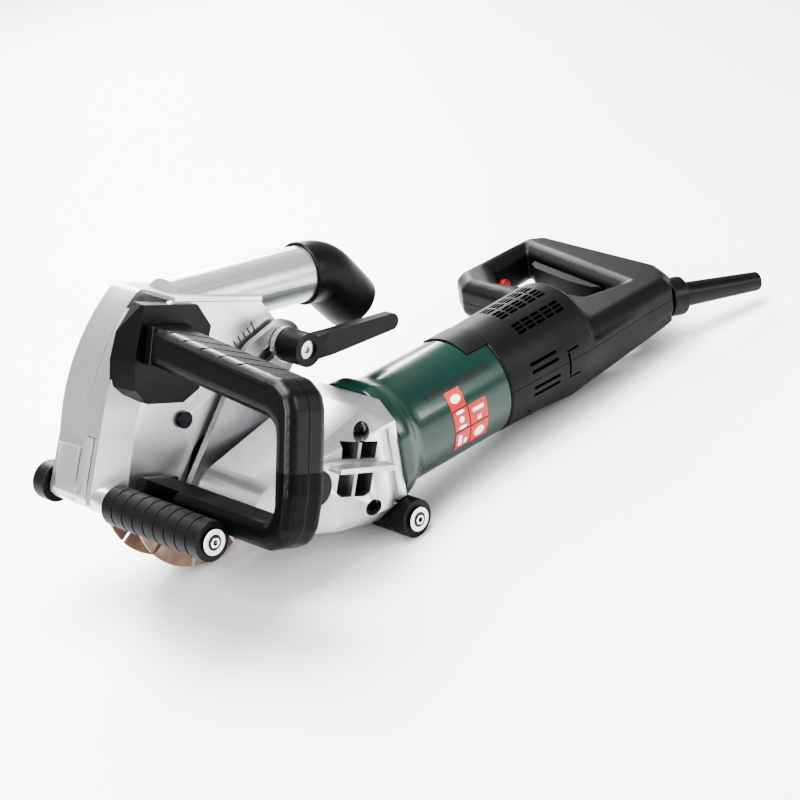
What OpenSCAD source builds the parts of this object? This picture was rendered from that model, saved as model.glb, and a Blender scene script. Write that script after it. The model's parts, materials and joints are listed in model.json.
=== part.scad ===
// Wall chaser: a motor unit with two parallel diamond discs, a swinging guard with
// rollers and front handle, a dust outlet and a rear loop handle.
// The parts are modelled in the tool frame (x backwards along the roller plane, y from
// the motor side to the guard side, z up), then laid on the rear rollers and rear foot.

/* [Discs] */
// Disc diameter
disc_d = 125; // [115:1:125]
// Disc thickness
disc_t = 2.2; // [1.8:0.1:2.6]
// Distance between the two discs
disc_gap = 36; // [30:1:36]
// Segments around each disc
disc_slots = 9; // [6:1:14]

/* [Guard] */
// Wall thickness of the guard castings
wall = 4; // [3:0.5:5]
// Roller diameter
roller_d = 30; // [26:1:32]
// Outer diameter of the dust tube
tube_d = 45; // [42:1:46]
// Radius of the dust outlet bore
outlet_r = 17.5; // [15:0.5:19]
// Pitch of the dust tube
tube_pitch = 11; // [8:1:13]

/* [Drive] */
// Motor barrel diameter
barrel_d = 90; // [88:1:92]
// Pitch of the motor axis against the roller plane
motor_pitch = 21; // [20:0.5:22]
// Teeth on the bevel pinion
pinion_teeth = 10; // [8:2:10]
// Teeth on the crown gear
crown_teeth = 36; // [30:2:36]

/* [Rear handle] */
// Half thickness of the loop handle
loop_half = 19; // [17:1:21]
// Slope of the floor under the part against the roller plane
rest_slope = 24; // [23.5:0.1:24.5]

/* [Hidden] */
$fn = 64;

run = 0.05;                    // running clearance of a shaft
gap = 0.4;                     // gap between parts that pass each other
roller_r = roller_d / 2;
disc_r = disc_d / 2;
axle_r = 5;
rear_x = 203;                  // rear axle
far_face_y = 102.7;            // flat side of the housings, beside the bracket
sx = 86.5;                     // spindle axis
sz = 5;
my = 58.5;                     // motor axis
barrel_r = barrel_d / 2;
near_y = 112;                  // outer face of the guard's near wall
far_y = 176;                   // outer face of the guard's far wall
split_y = 145;                 // joint between guard shell and cover
lug_y = split_y - 12.6;        // near end of the cover's hinge lug
rim_x = 147.3;                 // centre and radius of the guard's front rim
rim_z = 52.4;
rim_r = 153;
disc_y1 = 120;                 // mid planes of the discs
disc_y2 = disc_y1 + disc_gap;
roof_z = 148;                  // top edge of the guard's near wall
tube_y = 144;                  // dust tube axis
tube_x0 = 56;
tube_z0 = 137.5;
tube_len = 152;
tube_r = tube_d / 2;
elbow_r = tube_r + 1.8;
lever_x = 141;                 // clamp stud
lever_z = 117;
swing_deg = 11;                // depth adjustment
grip_x = 29;                   // middle plane of the front handle
grip_half = 19;
bar_u = 417;                   // inner edge of the rear grip bar, and how far it leans
bar_lean = 11.5;
row_x = -116.77;                 // rear axle over the middle of the footprint
row_y = -70.25;
corner_cut = 14;               // cut corners of the gear head's flange, and its screws
screw_y = 34;
screw_top = 35;
screw_bottom = -26;
duct_r = 27;                   // inside of the housing over the rear roller
lock_u = 404;                  // red lock button

// Places the tool frame on the floor: rear axle at roller_r over the floor
module place() {
  translate([row_x, row_y, roller_r]) rotate([0, rest_slope, 0])
    translate([-rear_x, 0, 0]) children();
}
// Frame of the motor: x along the motor axis, origin where it meets the spindle
module motor() { translate([sx, my, sz]) rotate([0, -motor_pitch, 0]) children(); }
// Cylinder along +y from y0 with length l
module ycyl(r, y0, l) { translate([0, y0, 0]) rotate([-90, 0, 0]) cylinder(r = r, h = l); }
// Cylinder along +x from x0 with length l
module xcyl(r, x0, l, r2 = -1) {
  translate([x0, 0, 0]) rotate([0, 90, 0]) cylinder(r1 = r, r2 = r2 < 0 ? r : r2, h = l);
}
// Plate with its outline in x and z, from y0 with thickness t
module yplate(y0, t) { translate([0, y0 + t, 0]) rotate([90, 0, 0]) linear_extrude(t) children(); }
module ring(r_out, r_in, y0, l) { difference() { ycyl(r_out, y0, l); ycyl(r_in, y0 - 1, l + 2); } }
// Square prism along x with across-flats 2a and cut corners
module octagon_x(a, x0, l) {
  c = a - corner_cut;
  translate([x0, 0, 0]) rotate([90, 0, 90]) linear_extrude(l)
    polygon([[a, c], [c, a], [-c, a], [-a, c], [-a, -c], [-c, -a], [c, -a], [a, -c]]);
}
module at_rear_axle() { translate([rear_x, 0, 0]) children(); }
// The four screws of the gear head, mirrored so that +y points inwards at each
module at_gear_screws() {
  for (s = [0, 1], n = [screw_bottom, screw_top]) mirror([0, s, 0]) translate([0, -screw_y, n]) children();
}
// Room for the rear roller and the bracket's hub under and beside the housings
module roller_relief() {
  at_rear_axle() ycyl(roller_r + 1, -60, 180);
  translate([-100, far_face_y, -100]) cube([325, 40, 400]);
}
module at_spindle() { translate([sx, 0, sz]) children(); }
module at_lever() { translate([lever_x, 0, lever_z]) children(); }
module at_tube() { translate([tube_x0, tube_y, tube_z0]) rotate([0, -tube_pitch, 0]) children(); }

// ---------------------------------------------------------------- guard
rim_points = [for (b = [-4 : 4.3 : 39]) [rim_x - rim_r * cos(b), rim_z + rim_r * sin(b)]];
function shrink(points, d) = [for (p = points)
  [rim_x + (p[0] - rim_x) * (1 - d / rim_r), rim_z + (p[1] - rim_z) * (1 - d / rim_r)]];
rim_back = [for (i = [len(rim_points) - 1 : -1 : 0]) rim_points[i]];
rim_inner = shrink(rim_back, wall);
// Front box of the near shell, and its inside
box_outline = concat([[-10, 6], [-10, -5], [-6, -9], [150, -9], [150, 118], [138, 134], [122, roof_z],
  [30, roof_z]], rim_back);
box_chamfer = [[12, -9], [150, -9], [150, 118], [138, 134], [122, roof_z], [40, roof_z], [28, 118],
  [19, 90], [13, 55], [12, 20]];
box_inner = concat([[8, -20], [160, -20], [160, roof_z + 30], [36, roof_z + 30], [32, roof_z - 4]], rim_inner);
inner_chamfer = [[17, -20], [160, -20], [160, roof_z + 30], [44, roof_z + 30], [33, 118], [24, 90],
  [18, 55], [17, 20]];
plate_outline = [[110, roof_z], [122, roof_z], [138, 134], [156, 120], [157, 98], [170, 52], [214, 9],
  [214, -6], [203, -13], [110, -9]];
back_wall = [[150, 118], [156, 118], [157, 98], [170, 52], [188, -9], [184, -9], [166, 50], [152, 97]];

module neck_slot() {
  hull() {
    at_spindle() ycyl(21.2, 100, 40, $fn = 32);
    at_rear_axle() rotate([0, swing_deg + 0.4, 0]) translate([sx - rear_x, 0, sz])
      ycyl(21.2, 100, 40, $fn = 32);
    translate([sx - 21.2, 100, -30]) cube([42.4, 40, 10]);
  }
}
module hood_shell() {
  color("silver") difference() {
    union() {
      difference() {
        hull() {
          yplate(split_y - 18, 18) polygon(box_outline);
          yplate(near_y, 1) polygon(box_chamfer);
        }
        hull() {
          yplate(split_y - 16, 30) polygon(box_inner);
          yplate(near_y + wall, 1) polygon(inner_chamfer);
        }
        ycyl(10.6, lug_y - 0.6, 60);
        translate([-20, lug_y - 0.6, -20]) cube([29.5, 60, 20]);
        translate([-20, lug_y - 0.6, 0]) cube([16, 8.2, 44.6]);
      }
      yplate(near_y, wall) polygon(plate_outline);
      yplate(near_y, split_y - near_y) polygon(back_wall);
      ycyl(10, near_y, 19.2);
      at_rear_axle() ycyl(13, near_y, 18);
      translate([169, near_y + 2, 12]) ycyl(7, 0, far_y - wall - near_y - 2.4);
      translate([162, near_y + 2, 8]) cube([12, split_y - near_y - 2, 8]);
    }
    neck_slot();
    at_lever() ycyl(5, 100, 40);
    translate([57, 0, 60]) ycyl(3, 100, 40);
    ycyl(axle_r, 100, 60);
    at_rear_axle() ycyl(axle_r + run, 100, 60);
    translate([169, 0, 12]) ycyl(3, 140, 60);
  }
}
cover_outline = concat([[-9.5, 3], [-9.5, -5], [-6, -8], [184, -8], [188, 4], [162, 104], [152, 128],
  [123, roof_z + 3.4], [32, roof_z + 3.4]], rim_back);
cover_inner = concat([[10, -20], [180, -20], [184, 4], [158, 103], [148, 126], [121, roof_z + 0.4],
  [38, roof_z + 0.4]], rim_inner);
module hood_cover() {
  color("gainsboro") difference() {
    union() {
      difference() {
        yplate(split_y + gap, far_y - split_y - gap) polygon(cover_outline);
        yplate(split_y - 1, far_y - wall - split_y + 1) polygon(cover_inner);
      }
      translate([38, near_y, roof_z + 0.4]) cube([85, split_y - near_y + 1, 3]);
      difference() {
        at_tube() xcyl(tube_r, 0, tube_len - 2.6);
        translate([0, 90, roof_z - 99.6]) cube([123, 120, 100]);
      }
      ycyl(10, lug_y, far_y - lug_y);
      translate([-10, lug_y, 0]) cube([5.6, 7, 44]);
      translate([-10, split_y + 1, 0]) cube([14, 24, 34]);
    }
    at_tube() xcyl(tube_r - 2.5, 10, tube_len);
    translate([46, near_y + 9, roof_z - 1]) cube([60, 52, 3]);
    ycyl(axle_r + run, 100, 100);
    translate([169 - 3.6, far_y - 10, -20]) cube([7.2, 20, 32]);
    translate([169, 0, 12]) ycyl(3.6, far_y - 10, 20);
  }
}
module cover_screw() {
  color("dimgray") translate([169, 0, 12]) {
    ycyl(3, far_y - 20, 20.4);
    difference() {
      ycyl(9, far_y + 0.4, 7);
      for (a = [0 : 30 : 330]) rotate([0, a, 0]) translate([9.6, 0, 0]) ycyl(1.6, far_y, 9, $fn = 16);
      ycyl(3, far_y + 5, 5);
    }
  }
}
pad_outline = [[6, 147], [56, 147], [71, 131], [66, 84], [52, 74], [19, 74], [6, 84], [2, 104]];
module handle_pad() {
  color("#1c1c1e") difference() {
    hull() {
      yplate(near_y - 5, 3) polygon(pad_outline);
      yplate(near_y + 16, 1) polygon([[14, 146], [0, 124], [-3, 104], [-1, 84], [5, 76], [20, 90]]);
    }
    hull() {
      yplate(split_y - 18, 18) polygon(box_outline);
      yplate(near_y, 1) polygon(box_chamfer);
    }
    translate([0, 0, 117]) for (x = [18, 42]) translate([x, 0, 0]) ycyl(2.6, 90, 40);
  }
}
// Outline of the front handle loop in y and z
d_outer = [[near_y - 5, 133], [-34, 121], [-46, 114], [-51, 103], [-59, 45], [-58, 20], [-52, 8], [-40, 2],
  [near_y, 2], [near_y, 20]];
d_window = [[near_y - 5, 104], [-26, 93], [-34, 89], [-36, 80], [-42, 34], [-40, 25], [-33, 21], [near_y, 20]];
module d_handle_frame() {
  color("#202022") difference() {
    translate([grip_x - grip_half, 0, 0]) rotate([90, 0, 90]) linear_extrude(2 * grip_half)
      difference() {
        polygon(d_outer);
        offset(r = 4, $fn = 24) offset(delta = -4) polygon(d_window);
        translate([near_y - 5, 21]) square([30, 200]);
      }
    translate([-20, -100, -20]) cube([37.5, 300, 41]);
    translate([0, 0, 117]) for (x = [18, 42]) translate([x, 0, 0]) ycyl(2.5, 90, 40);
    grip_band(0);
  }
}
// Sleeve of soft rubber around the top bar
module grip_band(clear) {
  translate([grip_x, 0, 0]) rotate([90, 0, 90]) translate([0, 0, -grip_half - 1])
    linear_extrude(2 * grip_half + 2) difference() {
      polygon([[88, 140], [88, 124.5], [-22, 114], [-22, 140]]);
    }
}
module d_handle_grip() {
  color("#2a2a2c") intersection() {
    translate([grip_x - grip_half, 0, 0]) rotate([90, 0, 90]) linear_extrude(2 * grip_half)
      difference() {
        polygon(d_outer);
        for (i = [0 : 4]) translate([76 - 20 * i, 133 - 1.6 * i]) rotate(-6) square([1.6, 8], center = true);
      }
    grip_band(0);
  }
}
module handle_screws() {
  color("gray") for (x = [18, 42]) translate([x, 0, 117]) {
    ycyl(2.5, 92, near_y - 92);
  }
}
module axle(len) {
  ycyl(axle_r, 0, len);
  difference() { ycyl(9.5, -1.6, 1.6); ycyl(3, -3, 2.2, $fn = 6); }
  difference() { ycyl(9.5, len, 1.6); ycyl(3, len + 0.6, 2.2, $fn = 6); }
}
module front_axle() { color("lightgray") axle(192); }
module rear_axle() { color("lightgray") at_rear_axle() axle(192); }
module ribbed_roller(y0, y1, grooves) {
  color("#1f1d1c") difference() {
    ycyl(roller_r, y0, y1 - y0);
    ycyl(axle_r + run, y0 - 1, y1 - y0 + 2);
    for (i = [1 : grooves]) translate([0, y0 + i * (y1 - y0) / (grooves + 1), 0])
      ring(roller_r + 1, roller_r - 1, -0.6, 1.2);
  }
}
module front_roller() { ribbed_roller(0.6, 107.4, 8); }
module rear_roller() { at_rear_axle() ribbed_roller(0.6, 88, 7); }
module front_ring() { ribbed_roller(far_y + 2, 191.4, 0); }
module rear_ring() { at_rear_axle() ribbed_roller(far_y + 2, 191.4, 0); }
module depth_scale() {
  color("#303030") for (i = [0 : 5])
    at_rear_axle() rotate([0, -6 - i * 1.9, 0]) translate([lever_x - rear_x, near_y - 0.5, lever_z])
      rotate([0, -28, 0]) translate([-0.4, 0, i % 5 == 0 ? 19 : 20]) cube([0.8, 0.5, i % 5 == 0 ? 8 : 5]);
}
module hood_bolt() {
  color("lightgray") translate([57, 0, 60]) { ycyl(3, near_y - 1, 1 + wall); ycyl(6.5, near_y - 4, 4); }
}
module dust_elbow() {
  color("#161618") at_tube() difference() {
    union() {
      xcyl(elbow_r, tube_len - 18, 20);
      translate([tube_len + 2, 0, 0]) sphere(r = elbow_r);
      translate([tube_len + 2, 0, 0]) rotate([0, 44, 0]) xcyl(elbow_r, 0, 50, elbow_r - 1.5);
    }
    xcyl(tube_r + run, tube_len - 30, 30);
    translate([tube_len + 2, 0, 0]) sphere(r = tube_r - 3);
    translate([tube_len + 2, 0, 0]) rotate([0, 44, 0]) xcyl(outlet_r, 0, 60);
  }
}

// ---------------------------------------------------------------- gear head
module gear_housing() {
  color("lightgray") difference() {
    union() {
      difference() {
        motor() hull() {
          octagon_x(47, 92, 18);
          ycyl(30, -34.5, 64, $fn = 48);
        }
        translate([0, -40, -60]) cube([230, 200, 51]);
        roller_relief();
      }
      at_spindle() ycyl(19.4, 60, 54.2);
    }
    motor() {
      ycyl(17.9, 2, 22);
      xcyl(7, 8, 40);
      xcyl(14, 45, 30);
      xcyl(duct_r, 66, 60);
      translate([96, -48, -32]) cube([6, 3.5, 62]);
      at_gear_screws() {
        xcyl(3, 80, 40);
        xcyl(6.2, 82, 10);
        translate([86, 0, 0]) rotate([0, 0, 52]) xcyl(6.2, -40, 40);
      }
      translate([26, 0, 14]) {
        ycyl(9.2, -60, 44);
        ycyl(14.6, -60, 19.5);
      }
    }
    intersection() {
      for (x = [130, 147.5], z = [18, 47]) translate([x, -5, z]) cube([14.5, 43, z > 20 ? 13 : 19]);
      translate([146, 0, 40.5]) ycyl(25, -10, 60);
    }
    at_spindle() {
      ycyl(12, 36, 70);
      ycyl(16, 97, 18);
    }
  }
}
module swing_bracket() {
  color("silver") difference() {
    union() {
      hull() {
        at_spindle() ycyl(19.4, 103, 5.6, $fn = 48);
        at_rear_axle() ycyl(13, 103, 5.6, $fn = 32);
      }
      at_spindle() ycyl(19.6, 103, 5.6);
      hull() {
        at_spindle() ycyl(24, 103, 5.6, $fn = 48);
        at_lever() ycyl(18, 103, 5.6, $fn = 48);
        at_rear_axle() rotate([0, -swing_deg, 0]) translate([lever_x - rear_x, 0, lever_z])
          ycyl(18, 103, 5.6, $fn = 48);
      }
      at_rear_axle() ycyl(13, 90, 21.4);
    }
    at_spindle() ycyl(19.4, 90, 40);
    at_rear_axle() ycyl(axle_r, 80, 40);
    for (i = [0 : 8]) at_rear_axle() rotate([0, -i * swing_deg / 8, 0])
      translate([lever_x - rear_x, 0, lever_z]) ycyl(5.6, 90, 40);
  }
}
module clamp_stud() {
  color("gray") at_lever() {
    ycyl(5, 84, near_y + wall + 1 - 84);
    ycyl(9, near_y + wall, 5);
    ring(14, 5, 97.4, 5);
  }
}
module clamp_lever() {
  color("#1b1b1d") at_lever() difference() {
    union() {
      ycyl(13, 74, 23);
      hull() {
        translate([10, 0, 2]) ycyl(9, 74, 12, $fn = 32);
        rotate([0, -14, 0]) translate([24, 0, 0]) ycyl(9, 72, 10, $fn = 32);
      }
      hull() {
        rotate([0, -14, 0]) translate([24, 0, 0]) ycyl(9, 72, 10, $fn = 32);
        rotate([0, -14, 0]) translate([86, 0, 0]) ycyl(6.5, 72, 9, $fn = 32);
      }
    }
    ycyl(5 + run, 83.5, 20);
    ycyl(7.5, 60, 20);
  }
}
module lever_bolt() {
  color("silver") at_lever() difference() {
    ycyl(7.5, 76, 4);
    ycyl(3, 75, 3, $fn = 6);
  }
}
module spindle_bearings() {
  color("silver") at_spindle() { ring(12, 8 + run, 36.4, 9); ring(16, 10 + run, 97.4, 12); }
}
module bearing_cap() {
  color("silver") at_spindle() difference() {
    ycyl(18.5, 114.2, 1.2);
    ycyl(11, 114, 3);
  }
}
module gear_screws() {
  color("gray") motor() at_gear_screws() {
    xcyl(3, 88, 26);
    xcyl(5.5, 86, 6);
  }
}
module spindle_lock() {
  color("#19191b") motor() translate([26, 0, 14]) {
    ycyl(9.15, -43, 21);
    ycyl(14, -48, 5);
  }
}
module spindle() {
  color("silver") at_spindle() { ycyl(8, 36.8, 10);
    ycyl(10, 46.8, 121.2); }
}
module crown_gear() {
  color("dimgray") motor() difference() {
    union() {
      ycyl(17.4, 6, 6);
      ycyl(13, 12, 8);
      for (i = [0 : crown_teeth - 1]) rotate([0, (i + 0.5) * 360 / crown_teeth, 0])
        translate([14, 4.2, -0.5]) cube([3.2, 2, 1]);
    }
    ycyl(10, 0, 50);
  }
}
module pinion() {
  color("dimgray") motor() {
    xring(3.4, 2.5, 14.2, 3);
    for (i = [0 : pinion_teeth - 1]) rotate([i * 360 / pinion_teeth, 0, 0])
      translate([14.2, 3.2, -0.5]) cube([3, 1.8, 1]);
  }
}
module inner_flange() { color("silver") at_spindle() ring(20, 10, disc_y1 - disc_t / 2 - 3, 3); }
module disc(y) {
  color("peru") at_spindle() difference() {
    ycyl(disc_r, y - disc_t / 2, disc_t);
    ycyl(10, y - 5, 10);
    for (i = [0 : disc_slots - 1]) rotate([0, i * 360 / disc_slots + 8, 0])
      translate([disc_r - 13, y - 5, -1.6]) cube([20, 10, 3.2]);
  }
}
module disc_near() { disc(disc_y1); }
module disc_far() { disc(disc_y2); }
module disc_spacer() {
  color("silver") at_spindle() ring(19, 10, disc_y1 + disc_t / 2, disc_gap - disc_t);
}
module disc_nut() {
  color("dimgray") at_spindle() difference() {
    ycyl(20, disc_y2 + disc_t / 2, 7);
    ycyl(10, 150, 20);
    for (a = [0, 90, 180, 270]) rotate([0, a, 0]) translate([15, 0, 0]) ycyl(2, disc_y2 + 4, 8);
  }
}

// ---------------------------------------------------------------- motor
module motor_housing() {
  color("#14503c") difference() {
    motor() difference() {
      union() {
        intersection() {
          hull() { octagon_x(50, 110.2, 8); xcyl(barrel_r, 136, 2, $fn = 48); }
          xcyl(52.5, 100, 80);
        }
        xcyl(barrel_r, 114, 122);
      }
      xcyl(duct_r, 100, 40);
      xcyl(40.8, 126.5, 134);
      at_gear_screws() xcyl(3, 100, 16);
    }
    roller_relief();
  }
}
module label_plate() {
  color("#c8321e") motor() intersection() {
    difference() { xcyl(barrel_r + 0.7, 160, 66); xcyl(barrel_r, 150, 90); }
    translate([150, -80, -22]) cube([100, 60, 52]);
  }
}
module stator_core() {
  color("dimgray") motor() difference() {
    xcyl(40.5, 150, 62);
    xcyl(27, 140, 90);
    for (s = [-1, 1]) translate([140, s * 30 - 4, -14]) cube([90, 8, 28]);
  }
}
module field_coils() {
  color("#a0522d") motor() for (s = [-1, 1]) translate([142, s * 30 - 3.6, -13.6]) cube([78, 7.2, 27.2]);
}
module armature_bearings() {
  color("silver") motor() { xring(14, 6 + run, 46, 10); xring(11, 4 + run, 311, 7); }
}
module xring(r_out, r_in, x0, l) { difference() { xcyl(r_out, x0, l); xcyl(r_in, x0 - 1, l + 2); } }
module armature_shaft() { color("silver") motor() {
  xcyl(2.5, 13.2, 16);
  xcyl(6, 29, 271);
  xcyl(4, 300, 18);
} }
module armature_core() { color("dimgray") motor() xring(26, 6, 152, 58); }
module commutator() {
  color("peru") motor() difference() {
    xring(15, 6, 278, 20);
    for (i = [0 : 23]) rotate([i * 15, 0, 0]) translate([277, -0.3, 14]) cube([22, 0.6, 3]);
  }
}
module fan() {
  color("#303034") motor() {
    xring(10, 6, 118, 20); xring(37, 9, 136, 2);
    for (i = [0 : 10]) rotate([i * 360 / 11, 0, 0]) translate([127.5, -0.8, 9]) cube([9, 1.6, 27]);
  }
}

// ---------------------------------------------------------------- rear housing
loop_outline = [[336, 30], [350, 55], [354, 120], [370, 141], [460, 141], [474, 126], [466, -10],
  [456, -30], [440, -44], [336, -44]];
loop_hole = [[386, 5], [375, 92], [396, 119], [bar_u + 26, 123], [bar_u, -5]];
// Frame of the grip bar: origin at the inner near corner, y along the bar
module bar_frame() { translate([bar_u, -5, 0]) rotate([0, 0, -bar_lean]) children(); }
// Slice of the loop, thinner all round by d, between -h and h
module loop_slice(d, h) {
  translate([0, 0, -h]) linear_extrude(2 * h) difference() {
    offset(delta = -d) polygon(loop_outline);
    offset(delta = d) polygon(loop_hole);
  }
}
module rear_solid() {
  hull() {
    xcyl(barrel_r + 0.5, 236.4, 40, $fn = 48);
    xcyl(48, 320, 14, $fn = 48);
  }
  xcyl(48, 333, 15, 34, $fn = 48);
  difference() {
    hull() {
      xcyl(48, 318, 20, $fn = 48);
      translate([0, 0, -2.5]) xcyl(48, 322, 16, $fn = 48);
      translate([430, -42, -20]) cube([10, 50, 36]);
    }
    translate([300, -100, 6]) cube([200, 200, 100]);
    translate([0, 0, -60]) linear_extrude(100) offset(delta = 4) polygon(loop_hole);
  }
  loop_slice(0, loop_half - 7);
  loop_slice(5, loop_half - 2);
  loop_slice(8, loop_half);
}
module rear_cavity() {
  xcyl(41, 230, 92);
  translate([318, -34, -28]) cube([27, 58, 48]);
  translate([344, -34, -14]) cube([86, 24, 28]);
  bar_frame() translate([7, -14, -11]) cube([20, 132, 22]);
  translate([358, 15, -11]) cube([12, 108, 22]);
  translate([lock_u, 108, -4]) {
    ycyl(6.3, 0, 24);
    ycyl(8, 20, 8);
  }
  bar_frame() translate([-5, 19, -9.2]) cube([12, 98, 18.4]);
  gland_frame() {
    xcyl(10, 0, 60);
    xcyl(13.5, 6, 8);
    xcyl(16.8, 30.8, 40);
  }
}
module flap_cut() { translate([262, -70, -26]) cube([58, 40, 52]); }
// Plane of the floor seen from the motor frame: flattens the foot of the lower shell
module above_floor() {
  rotate([0, motor_pitch, 0]) translate([-sx, -my, -sz]) translate([rear_x, 0, 0])
    rotate([0, -rest_slope, 0]) translate([-500, -500, -roller_r]) cube([1200, 1200, 600]);
}
// Cooling slots over the top of the rear housing: two groups on each side of the crown
module vent_slots() {
  for (i = [0 : 4], a = [50.5, 55.5, 60.5, 76, 81, 86, 94, 99, 104, 119.5, 124.5, 129.5])
    rotate([a - 90, 0, 0]) translate([268 + i * 11, -1.4, 38]) cube([9, 2.8, 14]);
}
module rear_shell(upper) {
  difference() {
    intersection() {
      rear_solid();
      translate([200, -100, upper ? 0.05 : -100.05]) cube([400, 400, 100]);
      above_floor();
    }
    rear_cavity();
    flap_cut();
    mirror([0, 1, 0]) flap_cut();
    for (p = screw_places) translate([p[0], p[1], -70]) cylinder(r = 2.1, h = 120, $fn = 24);
    for (p = screw_places) translate([p[0], p[1], -70]) cylinder(r = 4.2, h = 70 - 12, $fn = 24);
    if (upper) vent_slots();
  }
}
screw_places = [[346, -39], [375, 131], [462, 131], [374, 2], [456, -4]];
module rear_housing_upper() { color("#3c3c42") motor() rear_shell(true); }
module rear_housing_lower() { color("#38383e") motor() rear_shell(false); }
module housing_screws() {
  color("gray") motor() for (p = screw_places) translate([p[0], p[1], -12]) {
    cylinder(r = 2, h = 20, $fn = 24);
    translate([0, 0, -3]) cylinder(r = 4, h = 3, $fn = 24);
  }
}
module brush_flaps() {
  color("#3a3a40") motor() for (s = [0, 1]) mirror([0, s, 0]) difference() {
    intersection() {
      hull() { xcyl(barrel_r + 0.5, 240, 30, $fn = 48); xcyl(48, 318, 8, $fn = 48); }
      translate([262.3, -70, -25.7]) cube([57.4, 40, 51.4]);
    }
    xcyl(41, 230, 120);
    for (i = [-2, -1, 1, 2]) translate([266, -60, i * 6 - 1.5]) cube([26, 30, 3]);
  }
}
module brush_holders() {
  color("goldenrod") motor() for (s = [0, 1]) mirror([0, s, 0]) difference() {
    translate([280, -38, -6]) cube([16, 20, 12]);
    translate([283, -39, -4]) cube([10, 22, 8]);
  }
}
module carbon_brushes() {
  color("#222222") motor() for (s = [0, 1]) mirror([0, s, 0]) translate([283.2, -33, -3.8]) cube([9.6, 17.7, 7.6]);
}
module switch_module() {
  color("#26262a") motor() bar_frame() translate([7.02, 42, -10.98]) cube([19.9, 56, 21.96]);
}
module control_board() {
  color("darkgreen") motor() {
    translate([320, -31, -28]) cube([23, 50, 2]);
    translate([324, -22, -26]) cube([8, 18, 12]);
    translate([334, -20, -26]) cube([7, 10, 8]);
  }
}
module gland_frame() { translate([418, -20, 0]) rotate([0, 0, -17]) rotate([0, 8.5, 0]) children(); }
module at_gland() { motor() gland_frame() children(); }
module cable_gland() {
  color("#141416") at_gland() difference() {
    union() {
      xcyl(9.8, 1, 30);
      xcyl(13.3, 6.2, 7.6);
      xcyl(16.5, 31, 15);
    }
    xcyl(6, 0, 60);
  }
}
module bend_sleeve() {
  color("#101012") at_gland() difference() {
    xcyl(10.6, 46.05, 80, 8.2);
    xcyl(4.6, 40, 90);
  }
}
module cord_clamp() {
  color("gray") motor() translate([404, -32, -14]) cube([12, 14, 5]);
}
// Trigger paddle in the loop window
module trigger() {
  color("#55555a") motor() bar_frame() difference() {
    union() {
      translate([0, 0, -8.5]) linear_extrude(17)
        polygon([[-2, 21], [-8, 29], [-12, 55], [-12, 103], [-8, 113], [-2.5, 116], [-2.5, 21]]);
      translate([-3, 25, -7]) cube([10, 8, 14]);
    }
    translate([3, 29, -20]) cylinder(r = 2, h = 40);
  }
}
module lock_button() {
  color("#c8281e") motor() translate([lock_u, 0, -4]) {
    ycyl(6.2, 115, 13.4);
    ycyl(7.5, 128.2, 2.5);
  }
}

place() gear_housing();
place() swing_bracket();
place() spindle_bearings();
place() bearing_cap();
place() gear_screws();
place() motor_housing();
place() label_plate();
place() stator_core();
place() field_coils();
place() armature_bearings();
place() rear_housing_upper();
place() rear_housing_lower();
place() housing_screws();
place() brush_flaps();
place() brush_holders();
place() carbon_brushes();
place() switch_module();
place() control_board();
place() cable_gland();
place() bend_sleeve();
place() cord_clamp();
place() clamp_stud();
place() rear_axle();
place() armature_shaft();
place() armature_core();
place() commutator();
place() fan();
place() pinion();
place() spindle();
place() crown_gear();
place() inner_flange();
place() disc_near();
place() disc_far();
place() disc_spacer();
place() disc_nut();
place() trigger();
place() lock_button();
place() spindle_lock();
place() clamp_lever();
place() lever_bolt();
place() hood_shell();
place() handle_pad();
place() d_handle_frame();
place() d_handle_grip();
place() handle_screws();
place() front_axle();
place() depth_scale();
place() cover_screw();
place() hood_bolt();
place() hood_cover();
place() dust_elbow();
place() front_roller();
place() front_ring();
place() rear_roller();
place() rear_ring();
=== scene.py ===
"""Wall chaser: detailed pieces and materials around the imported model.

Pieces are built in millimetres in the tool frame or the motor frame, then placed in the row frame.
"""
import json
import math
import bpy
import bmesh
from mathutils import Matrix, Vector

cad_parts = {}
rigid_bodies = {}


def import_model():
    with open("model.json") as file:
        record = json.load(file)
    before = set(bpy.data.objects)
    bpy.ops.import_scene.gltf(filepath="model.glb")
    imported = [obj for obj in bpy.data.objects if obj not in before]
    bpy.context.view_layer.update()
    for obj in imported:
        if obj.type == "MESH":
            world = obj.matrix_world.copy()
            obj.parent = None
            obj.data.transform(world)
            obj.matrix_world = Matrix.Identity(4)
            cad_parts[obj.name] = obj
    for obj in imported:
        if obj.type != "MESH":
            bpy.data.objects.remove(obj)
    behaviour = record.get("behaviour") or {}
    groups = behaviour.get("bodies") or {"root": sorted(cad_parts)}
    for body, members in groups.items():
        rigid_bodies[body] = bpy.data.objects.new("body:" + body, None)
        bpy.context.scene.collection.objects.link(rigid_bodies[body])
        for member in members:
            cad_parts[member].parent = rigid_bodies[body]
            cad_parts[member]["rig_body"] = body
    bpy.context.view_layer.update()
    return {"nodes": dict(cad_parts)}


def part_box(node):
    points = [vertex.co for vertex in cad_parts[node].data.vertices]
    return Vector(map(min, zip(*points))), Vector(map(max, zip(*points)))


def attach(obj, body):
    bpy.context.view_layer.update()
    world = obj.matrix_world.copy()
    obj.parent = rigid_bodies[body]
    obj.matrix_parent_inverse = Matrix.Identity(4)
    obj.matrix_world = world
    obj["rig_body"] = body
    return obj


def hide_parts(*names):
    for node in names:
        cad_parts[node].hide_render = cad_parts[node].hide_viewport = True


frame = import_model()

NODES = frame["nodes"]
MM = 0.001
TINY = 1e-4                 # radius that closes a turned solid at its axis

# ------------------------------------------------------------------ frames
def centre(node):
    """Middle of a node's box."""
    lo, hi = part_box(node)
    return (lo + hi) / 2


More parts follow.
